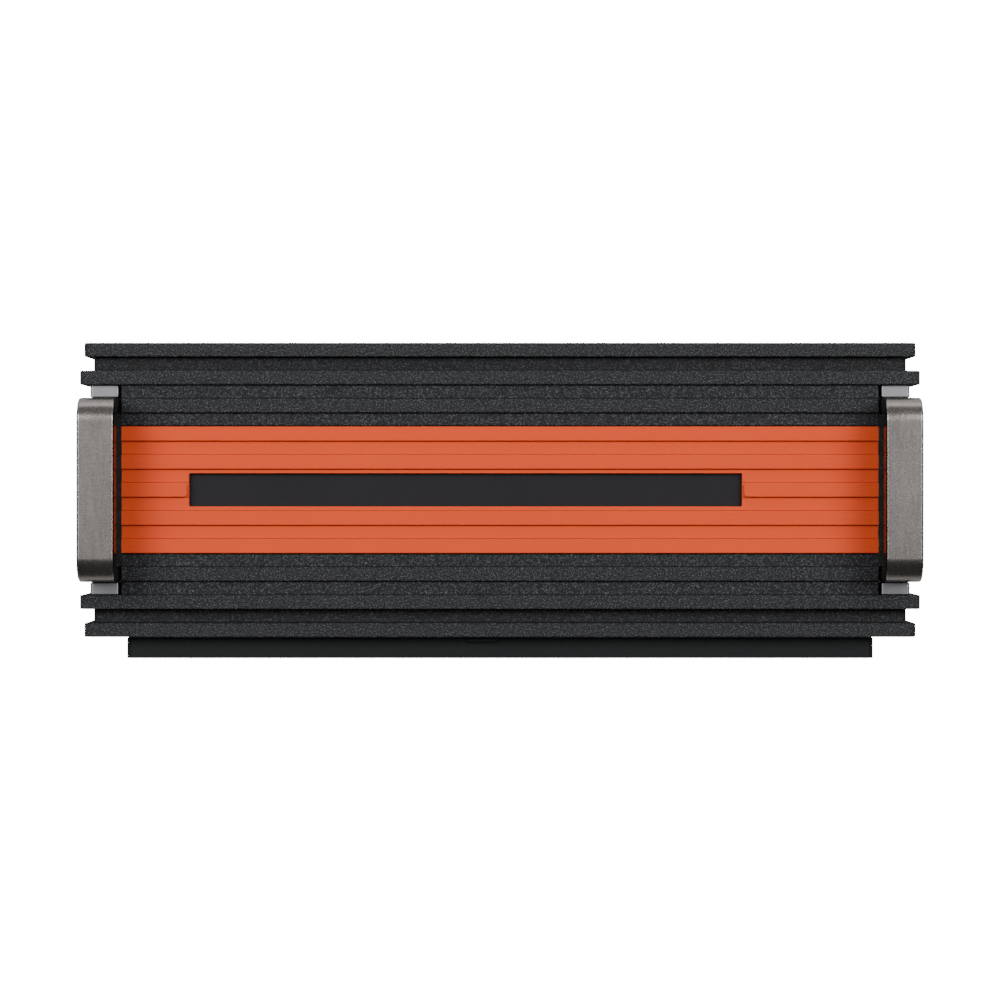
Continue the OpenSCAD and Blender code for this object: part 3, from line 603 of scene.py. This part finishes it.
def turned(bm, outline, place, steps=48, angle=math.tau, closed=False):
    """Spins an outline of (radius, height) points about local Z, then puts it at place."""
    before = set(bm.verts)
    points = [bm.verts.new((radius, 0, height)) for radius, height in outline]
    pairs = list(zip(points, points[1:]))
    if closed:
        pairs.append((points[-1], points[0]))
    lines = [bm.edges.new(pair) for pair in pairs]
    whole = angle == math.tau
    bmesh.ops.spin(
        bm, geom=points + lines, cent=(0, 0, 0), axis=UP, angle=angle, steps=steps, use_merge=whole
    )
    made = added_since(bm, before)
    bmesh.ops.remove_doubles(bm, verts=made, dist=0.001 * MM)
    made = added_since(bm, before)
    if not whole:
        bmesh.ops.holes_fill(bm, edges=[e for e in bm.edges if e.is_boundary and e.verts[0] not in before])
    bmesh.ops.transform(bm, matrix=place, verts=made)
    bmesh.ops.recalc_face_normals(bm, faces=faces_since(bm, before))


def block(bm, low, high, radius, segments=2):
    """A box with rounded edges."""
    before = set(bm.verts)
    low, high = Vector(low), Vector(high)
    place = Matrix.Translation((low + high) / 2) @ Matrix.Diagonal((*(high - low), 1))
    made = bmesh.ops.create_cube(bm, size=1, matrix=place)["verts"]
    lines = {e for v in made for e in v.link_edges}
    bmesh.ops.bevel(
        bm, geom=list(lines), offset=radius, affect="EDGES", segments=segments, profile=0.5, material=-1
    )
    return added_since(bm, before)


def ring_outline(radius, thickness, points=10):
    """A round wire's section, for a ring of a radius."""
    turn = [math.tau * i / points for i in range(points)]
    return [(radius + thickness * math.cos(a), thickness * math.sin(a)) for a in turn]


def at(position, facing):
    return Matrix.Translation(position) @ facing


# ---------------------------------------------------------------- pieces

class StationOperator:
    """What the station's operators share."""

    bl_options = {"REGISTER", "UNDO"}

    def execute(self, context):
        self.build()
        return {"FINISHED"}


class STATION_OT_casing(StationOperator, bpy.types.Operator):
    """Casing halves, their seal and the rubber feet"""

    bl_idname = "station.casing"
    bl_label = "Casing"

    def build(self):
        soften("upper_shell", "upper_casing", edges().shell, 3)
        soften("lower_shell", "lower_casing", edges().shell, 3)
        soften("shell_gasket", "casing_seal", edges().small)
        low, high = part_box("rubber_feet")
        radius = 17 * MM
        inset = Vector((radius, radius, 0))
        height = high.z - low.z
        outline = [
            (5.0, 4.0), (5.0, 0.6), (5.6, 0), (8.6, 0), (9.0, 0.9), (10.0, 0.9), (10.4, 0),
            (13.4, 0), (13.8, 0.9), (14.4, 0.9), (14.8, 0.1), (15.5, 0.8), (16.6, 5.6), (16.9, 8.0),
            (2.2, 8.0), (2.2, 4.0),
        ]
        bm = bmesh.new()
        for x in (low.x + inset.x, high.x - inset.x):
            for y in (low.y + inset.y, high.y - inset.y):
                scaled = [(r * MM, z * MM * height / (8 * MM)) for r, z in outline]
                turned(bm, scaled, Matrix.Translation((x, y, low.z)), closed=True)
        finished("ribbed_feet", bm, "foot_rubber", "root", ("rubber_feet",))


class STATION_OT_top_band(StationOperator, bpy.types.Operator):
    """Orange ribbed band and the plain strip in its slot"""

    bl_idname = "station.top_band"
    bl_label = "Top band"

    def build(self):
        soften("top_band", "ribbed_band", edges().band, 3)
        soften("nameplate_strip", "slot_strip", edges().small, look="strip_plastic")


class STATION_OT_handles(StationOperator, bpy.types.Operator):
    """Bail handles with their ears, pins and washers"""

    bl_idname = "station.handles"
    bl_label = "Handles"

    def build(self):
        for side in ("left", "right"):
            soften(f"handle_{side}", f"bail_{side}", edges().handle, 5)
            soften(f"hinge_ears_{side}", f"ears_{side}", edges().ear, 3)
        soften("hinge_pins", "hinge_bolts", edges().small * 2)
        soften("friction_washers", "hinge_washers", edges().small * 0.5, 1)


class STATION_OT_fascia(StationOperator, bpy.types.Operator):
    """Front fascia, its seal, the display and the work light"""

    bl_idname = "station.fascia"
    bl_label = "Fascia"

    def build(self):
        soften("front_fascia", "fascia_moulding", edges().panel, 3)
        soften("fascia_gasket", "fascia_seal", edges().small * 0.5, 1)
        soften("display_lens", "display_window", edges().small, 2)
        soften("light_lens", "light_diffuser", edges().small * 2, 3, self.flutes)
        self.display_marks()

    def flutes(self, bm):
        """Upright flutes across the face of the work light."""
        low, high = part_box("light_lens")
        margin = 9 * MM
        count = 28
        pitch = (high.x - low.x - 2 * margin) / (count - 1)
        for i in range(count):
            x = low.x + margin + i * pitch
            block(
                bm,
                (x - 1.1 * MM, low.y + 0.02 * MM, low.z + 5.4 * MM),
                (x + 1.1 * MM, low.y + 0.6 * MM, high.z - 5.4 * MM),
                0.28 * MM, 2,
            )

    def display_marks(self):
        """A battery gauge and load bars, with no lettering."""
        low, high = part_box("display_module")
        face = Vector((0, low.y - 0.05 * MM, (low.z + high.z) / 2))
        bm = bmesh.new()
        thick = 0.06 * MM
        gauge = Vector((-40 * MM, face.y, face.z))
        segments = 12
        lit = 9
        for i in range(lit):
            start = math.radians(210 - i * 240 / segments)
            outline = [(17 * MM, 0), (20.5 * MM, 0), (20.5 * MM, thick), (17 * MM, thick)]
            place = at(gauge, FRONT_FACING) @ Matrix.Rotation(start - math.radians(16), 4, "Z")
            turned(bm, outline, place, steps=6, angle=math.radians(16), closed=True)
        self.battery_mark(bm, gauge, thick)
        for row, bars in enumerate((7, 4)):
            z = face.z + (9 - 18 * row) * MM
            for i in range(bars):
                x = (-6 + i * 7.4) * MM
                block(bm, (x, face.y - thick, z - 4 * MM), (x + 5 * MM, face.y, z + 4 * MM), 0.02 * MM, 1)
        finished("display_marks", bm, "display_panel", "root", look="lit_marks")

    def battery_mark(self, bm, centre, thick):
        """A small upright battery outline in the middle of the gauge."""
        half, tall, line = 5 * MM, 8 * MM, 1.1 * MM
        x, y, z = centre
        for low, high in (
            ((-half, -tall), (-half + line, tall)), ((half - line, -tall), (half, tall)),
            ((-half, -tall), (half, -tall + line)), ((-half, tall - line), (half, tall)),
            ((-2 * MM, tall), (2 * MM, tall + 1.6 * MM)),
            ((-half + 2 * MM, -tall + 2 * MM), (half - 2 * MM, 2.5 * MM)),
        ):
            block(bm, (x + low[0], y - thick, z + low[1]), (x + high[0], y, z + high[1]), 0.02 * MM, 1)


class STATION_OT_outlets(StationOperator, bpy.types.Operator):
    """Mains, USB, car and round outlets of the fascia"""

    bl_idname = "station.outlets"
    bl_label = "Outlets"

    def build(self):
        for number in range(1, 5):
            soften(f"ac_socket_{number}", f"mains_outlet_{number}", edges().small * 1.5, 2)
        soften("usb_a_ports", "usb_a_shells", 0.08 * MM, 1)
        soften("usb_c_ports", "usb_c_shells", 0.05 * MM, 1)
        soften("car_socket", "car_outlet", edges().small, 2)
        soften("dc_jacks", "round_outlets", edges().small, 2)
        soften("car_socket_cap", "car_outlet_cap", edges().small * 1.5, 2, self.cap_ridges)
        self.contacts()

    def cap_ridges(self, bm):
        """Raised rings on the cap's face."""
        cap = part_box("car_socket_cap")
        centre = Vector(((cap[0].x + cap[1].x) / 2, 0, cap[0].z + 16.5 * MM))
        face = cap[0].y + 2.6 * MM
        for radius in (6.5, 10.0):
            place = at((centre.x, face, centre.z), FRONT_FACING)
            turned(bm, ring_outline(radius * MM, 0.7 * MM), place, closed=True)

    def contacts(self):
        """Gold contacts on the USB-A tongues."""
        low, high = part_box("usb_a_ports")
        bm = bmesh.new()
        for z in (low.z + 2.9 * MM, high.z - 2.9 * MM):
            for i in range(4):
                x = (low.x + high.x) / 2 + (i - 1.5) * 2.4 * MM
                block(
                    bm, (x - 0.55 * MM, low.y + 2.0 * MM, z - 0.22 * MM),
                    (x + 0.55 * MM, low.y + 9 * MM, z - 0.08 * MM), 0.03 * MM, 1,
                )
        finished("usb_contacts", bm, "copper", "root")


class STATION_OT_buttons(StationOperator, bpy.types.Operator):
    """Dished push buttons, their marks and the rings round them"""

    bl_idname = "station.buttons"
    bl_label = "Buttons"

    def build(self):
        ring = bmesh.new()
        for node in ("power_button", "ac_button", "dc_button", "light_button"):
            low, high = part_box(node)
            flange = (high.x - low.x) / 2
            radius = flange - FLANGE
            centre = Vector(((low.x + high.x) / 2, low.y, (low.z + high.z) / 2))
            depth = high.y - low.y
            self.cap(node, centre, radius, flange, depth)
            self.mark(node, centre, radius)
            self.ring(ring, centre, radius)
        finished("button_halos", ring, "orange_plastic", "root", ("button_rings",))
        soften("breaker_button", "reset_button", edges().small * 2, 3)

    def cap(self, node, centre, radius, flange, depth):
        """The button from its dished face to its stem, its flange a little forward of the CAD button's."""
        edge = 0.9 * MM
        dish = [(radius * i / 8, -0.75 * MM * (1 - (i / 8 / 0.82) ** 2)) for i in range(6)]
        rim = [
            (radius - edge + edge * math.sin(a), -edge + edge * math.cos(a))
            for a in (math.radians(15 * i) for i in range(7))
        ]
        neck = depth - 4.0 * MM
        back = [
            (radius, -neck + 1.5 * MM), (flange, -neck + 1.5 * MM), (flange, -neck),
            (3 * MM, -neck), (3 * MM, -depth), (0, -depth),
        ]
        bm = bmesh.new()
        turned(bm, dish + [(radius * 0.80, -0.02 * MM)] + rim + back, at(centre, FRONT_FACING), 64)
        finished(node + "_cap", bm, "button_plastic", body_of(node), (node,))

    def mark(self, node, centre, radius):
        """A plain symbol in the dish of a button."""
        bm = bmesh.new()
        size = radius * 0.36
        line = 0.55 * MM
        thick = 0.12 * MM
        face = centre + ALONG * 0.62 * MM
        section = [(size - line, 0), (size + line, 0), (size + line, thick), (size - line, thick)]
        place = at(face, FRONT_FACING)
        if node == "power_button":
            start = place @ Matrix.Rotation(math.radians(125), 4, "Z")
            turned(bm, section, start, 40, math.radians(290), closed=True)
            self.bar(bm, place, (-line, size * 0.25), (line, size * 1.35), thick)
        elif node == "light_button":
            small = [(0, 0), (size * 0.55, 0), (size * 0.55, thick), (0, thick)]
            turned(bm, small, place, 24)
            for i in range(8):
                turn = place @ Matrix.Rotation(math.tau * i / 8, 4, "Z")
                self.bar(bm, turn, (-line * 0.6, size * 0.85), (line * 0.6, size * 1.3), thick)
        elif node == "dc_button":
            self.bar(bm, place, (-size, size * 0.2), (size, size * 0.2 + 2 * line), thick)
            for i in (-1, 0, 1):
                dash, foot, half = i * size * 0.72, -size * 0.5, size * 0.26
                self.bar(bm, place, (dash - half, foot), (dash + half, foot + 2 * line), thick)
        else:
            self.wave(bm, place, size, line, thick)
        finished(node + "_mark", bm, "lens_plastic", body_of(node), look="legend")

    def bar(self, bm, place, low, high, thick):
        made = block(bm, (*low, 0), (*high, thick), 0.03 * MM, 1)
        bmesh.ops.transform(bm, matrix=place, verts=made)

    def wave(self, bm, place, size, line, thick):
        """One period of a sine wave, as a strip."""
        steps = 24
        made = bmesh.ops.create_grid(bm, x_segments=steps, y_segments=1, size=1)["verts"]
        for v in made:
            side = v.co.y
            v.co = Vector((v.co.x * size * 1.1, math.sin(v.co.x * math.pi) * size * 0.5 + side * line, thick))
        bmesh.ops.solidify(bm, geom=bm.faces[:], thickness=thick)
        bmesh.ops.transform(bm, matrix=place, verts=bm.verts[:])
        bmesh.ops.recalc_face_normals(bm, faces=bm.faces[:])

    def ring(self, bm, centre, radius):
        """A half-round ring let into the fascia round a button."""
        low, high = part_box("button_rings")
        inner, outer = radius + 0.4 * MM, radius + 2.3 * MM
        depth = high.y - low.y
        middle_r, half = (inner + outer) / 2, (outer - inner) / 2
        crown = [
            (middle_r + half * math.cos(a), -half * 0.6 + half * 0.6 * math.sin(a))
            for a in (math.pi * i / 10 for i in range(11))
        ]
        outline = crown + [(inner, -depth), (outer, -depth)]
        turned(bm, outline, at((centre.x, low.y, centre.z), FRONT_FACING), 72, closed=True)


class STATION_OT_rear(StationOperator, bpy.types.Operator):
    """Rear panel, its inlets and their hinged covers"""

    bl_idname = "station.rear"
    bl_label = "Rear panel"

    def build(self):
        soften("rear_panel", "rear_tray", edges().panel, 3, above=28.5 * MM)
        for node, name in (
            ("ac_inlet", "mains_inlet"), ("solar_inlets", "solar_sockets"),
            ("expansion_socket", "battery_socket"), ("breaker", "breaker_bush"),
        ):
            soften(node, name, edges().small, 2)
        for node in ("ac_inlet_cover", "solar_cover", "expansion_cover"):
            soften(node, node + "_flap", edges().small * 2.5, 3, self.cover_ribs(node))
        soften("cover_pins", "flap_pins", edges().small, 1)

    def cover_ribs(self, node):
        """Grip ribs along the foot of a cover."""
        def add(bm):
            low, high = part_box(node)
            outer = high.y - 2.3 * MM
            half = (high.x - low.x) / 2 - 5 * MM
            centre = (low.x + high.x) / 2
            for i in range(4):
                z = low.z + (8.5 + 4.2 * i) * MM
                block(
                    bm, (centre - half, outer - 0.5 * MM, z - 0.7 * MM),
                    (centre + half, outer + 0.75 * MM, z + 0.7 * MM), 0.4 * MM, 2,
                )
        return add


class STATION_OT_fans(StationOperator, bpy.types.Operator):
    """Fans: frames, curved-blade rotors and wire guards"""

    bl_idname = "station.fans"
    bl_label = "Fans"

    def build(self):
        for side in ("left", "right"):
            soften(f"fan_frame_{side}", f"fan_housing_{side}", edges().small * 2, 2)
            self.rotor(side)
            self.guard(side)

    def rotor(self, side):
        """A domed hub with seven pitched, swept blades."""
        node = f"fan_rotor_{side}"
        low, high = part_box(node)
        depth = high.y - low.y
        centre = Vector(((low.x + high.x) / 2, low.y, middle(f"fan_guard_{side}").z))
        hub, tip = 15.5 * MM, 35.3 * MM
        bm = bmesh.new()
        outline = [
            (2.05 * MM, 10 * MM), (2.05 * MM, 0.3 * MM), (hub - 1 * MM, 0), (hub, 1 * MM),
            (hub, depth - 2.5 * MM), (hub - 0.8 * MM, depth - 1.0 * MM), (hub - 2.8 * MM, depth - 0.3 * MM),
            (hub * 0.5, depth), (0, depth), (0, 10 * MM),
        ]
        turned(bm, outline, at(centre, REAR_FACING), 48, closed=True)
        for i in range(7):
            before = set(bm.verts)
            made = bmesh.ops.create_grid(bm, x_segments=8, y_segments=6, size=1)["verts"]
            for v in made:
                out = (v.co.y + 1) / 2
                across = v.co.x
                radius = hub - 0.4 * MM + (tip - hub + 0.4 * MM) * out
                chord = (0.44 - 0.1 * out) * (1 - 0.18 * out * abs(across))
                sweep = 0.32 * out * out
                angle = across * chord + sweep
                rise = depth * (0.5 + across * (0.42 - 0.12 * out)) + 1.2 * MM * (1 - across * across)
                v.co = Vector((radius * math.cos(angle), radius * math.sin(angle), rise - 0.6 * MM))
            faces = faces_since(bm, before)
            bmesh.ops.recalc_face_normals(bm, faces=faces)
            bmesh.ops.solidify(bm, geom=faces, thickness=1.1 * MM)
            blade = added_since(bm, before)
            bmesh.ops.transform(
                bm, matrix=at(centre, REAR_FACING) @ Matrix.Rotation(math.tau * i / 7, 4, "Z"), verts=blade
            )
            bmesh.ops.recalc_face_normals(bm, faces=faces_since(bm, before))
        finished(f"fan_impeller_{side}", bm, "fan_plastic", body_of(node), (node,))

    def guard(self, side):
        """Concentric wires on four spokes, with a dished middle."""
        node = f"fan_guard_{side}"
        low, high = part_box(node)
        wire = (high.y - low.y) / 2
        centre = Vector(((low.x + high.x) / 2, low.y + wire, (low.z + high.z) / 2))
        outer = (high.x - low.x) / 2
        bm = bmesh.new()
        place = at(centre, REAR_FACING)
        for i in range(5):
            turned(bm, ring_outline(outer - wire - i * 7.6 * MM, wire), place, 72, closed=True)
        boss = [(0, wire), (3.4 * MM, wire * 0.8), (4.6 * MM, 0), (3.4 * MM, -wire * 0.8), (0, -wire)]
        turned(bm, boss, place, 32)
        for i in range(4):
            before = set(bm.verts)
            half = wire * 0.9
            block(bm, (-half, 3 * MM, -half), (half, outer - wire, half), wire * 0.55, 3)
            turn = place @ Matrix.Rotation(math.radians(45 + 90 * i), 4, "Z")
            bmesh.ops.transform(bm, matrix=turn, verts=added_since(bm, before))
        finished(f"fan_grille_{side}", bm, "guard_wire", "root", (node,))


class STATION_OT_screws(StationOperator, bpy.types.Operator):
    """Socket screws of the fascia, the rear panel, the casing and the feet"""

    bl_idname = "station.screws"
    bl_label = "Screws"

    def build(self):
        for node in ("fascia_screws", "rear_screws", "shell_screws", "foot_screws"):
            soften(node, node.replace("screws", "bolts"), edges().small * 1.5, 2)


class STATION_OT_works(StationOperator, bpy.types.Operator):
    """Finishes of what is inside the casing"""

    bl_idname = "station.works"
    bl_label = "Works"

    def build(self):
        for node, part in frame["nodes"].items():
            part.data.materials.clear()
            part.data.materials.append(material(slot_of(node)))


class STATION_OT_stage(StationOperator, bpy.types.Operator):
    """Floor, soft lights and the camera straight above"""

    bl_idname = "station.stage"
    bl_label = "Studio"

    def build(self):
        studio = bpy.context.scene.station_studio
        self.floor(studio)
        self.sky()
        for side in (-1, 1):
            place, target = (side * 1.4, 0.8, 2.35), (side * 0.2, 0.1, 0.2)
            self.light(f"Side {side}", studio.side_power, (1.3, 1.1), place, target)
        self.light("Top", studio.top_power, (2.6, 0.8), (0, 0.2, 2.8), (0, 0, 0.3))
        self.light("Rear", studio.rear_power, (2.6, 0.6), (0, 1.6, 0.33), (0, 0, 0.33))
        self.camera(studio)

    def floor(self, studio):
        """Pale paper, overexposed as the camera sees it and clear from below."""
        f = Finish("Floor")
        paper = f.noise(2 * MM, 2.0)
        seen = f.node("ShaderNodeLightPath", output="Is Camera Ray")
        under = f.node("ShaderNodeNewGeometry", output="Backfacing")
        f.set(
            Alpha=1 - under,
            Base_Color=f.mixed(paper, (0.72, 0.72, 0.72), (0.75, 0.75, 0.75)), Roughness=0.9,
            Emission_Color=(1, 1, 1, 1), Emission_Strength=seen * studio.floor_glow, Specular_IOR_Level=0.1,
        )
        bm = bmesh.new()
        bmesh.ops.create_grid(bm, x_segments=8, y_segments=8, size=9)
        mesh = bpy.data.meshes.new("Floor")
        bm.to_mesh(mesh)
        bm.free()
        mesh.materials.append(f.material)
        piece = bpy.data.objects.new("Floor", mesh)
        bpy.context.scene.collection.objects.link(piece)

    def sky(self):
        """A dim surround, darker towards the front, that looks like the floor to the camera."""
        world = bpy.data.worlds.new("Studio")
        bpy.context.scene.world = world
        world.use_nodes = True
        sky = next(n for n in world.node_tree.nodes if n.type == "BACKGROUND")
        nodes = Nodes(world.node_tree)
        way = nodes.node("ShaderNodeTexCoord", output="Generated")
        back = nodes.node("ShaderNodeSeparateXYZ", {0: way}, output="Y")
        limits = {"From Min": -0.2, "From Max": 0.4, "To Min": SKY_FRONT, "To Max": SKY_REAR}
        shade = nodes.node("ShaderNodeMapRange", {"Value": back, **limits})
        seen = nodes.node("ShaderNodeLightPath", output="Is Camera Ray")
        nodes.feed(sky.inputs["Color"], (1, 1, 1, 1))
        nodes.feed(sky.inputs["Strength"], nodes.node("ShaderNodeMix", {0: seen, 2: shade, 3: SKY_AS_SEEN}))

    def light(self, name, power, size, place, target):
        data = bpy.data.lights.new(name, "AREA")
        data.shape = "RECTANGLE"
        data.size, data.size_y = size
        data.energy = power
        lamp = bpy.data.objects.new(name, data)
        bpy.context.scene.collection.objects.link(lamp)
        lamp.location = place
        lamp.rotation_euler = (Vector(target) - Vector(place)).to_track_quat("-Z", "Y").to_euler()

    def camera(self, studio):
        rib_middle = middle("top_band")
        data = bpy.data.cameras.new("Camera")
        data.lens = data.sensor_width * studio.camera_height / studio.view_width
        data.shift_y = CAMERA_SHIFT
        camera = bpy.data.objects.new("Camera", data)
        bpy.context.scene.collection.objects.link(camera)
        camera.location = (0, rib_middle.y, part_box("upper_shell")[1].z + studio.camera_height)
        bpy.context.scene.camera = camera


class STATION_PT_panel(bpy.types.Panel):
    """Lists the station's steps and settings"""

    bl_idname = "STATION_PT_panel"
    bl_label = "Power station"
    bl_space_type = "VIEW_3D"
    bl_region_type = "UI"
    bl_category = "Power station"

    def draw(self, context):
        for operator in STEPS:
            self.layout.operator(operator.bl_idname)
        for setting in SETTINGS:
            group = getattr(context.scene, setting)
            box = self.layout.box()
            for name in group.__annotations__:
                box.prop(group, name)


STEPS = (
    STATION_OT_works, STATION_OT_casing, STATION_OT_top_band, STATION_OT_handles, STATION_OT_fascia,
    STATION_OT_outlets, STATION_OT_buttons, STATION_OT_rear, STATION_OT_fans, STATION_OT_screws,
    STATION_OT_stage,
)
SETTINGS = {
    "station_colours": StationColours,
    "station_edges": StationEdges,
    "station_studio": StationStudio,
}


def register():
    for group in SETTINGS.values():
        bpy.utils.register_class(group)
    for operator in STEPS:
        bpy.utils.register_class(operator)
    bpy.utils.register_class(STATION_PT_panel)
    for name, group in SETTINGS.items():
        setattr(bpy.types.Scene, name, PointerProperty(type=group))


def unregister():
    for name in SETTINGS:
        delattr(bpy.types.Scene, name)
    bpy.utils.unregister_class(STATION_PT_panel)
    for operator in reversed(STEPS):
        bpy.utils.unregister_class(operator)
    for group in reversed(SETTINGS.values()):
        bpy.utils.unregister_class(group)


def main():
    register()
    for step in STEPS:
        getattr(bpy.ops.station, step.bl_idname.split(".")[1])()


if __name__ == "__main__":
    main()
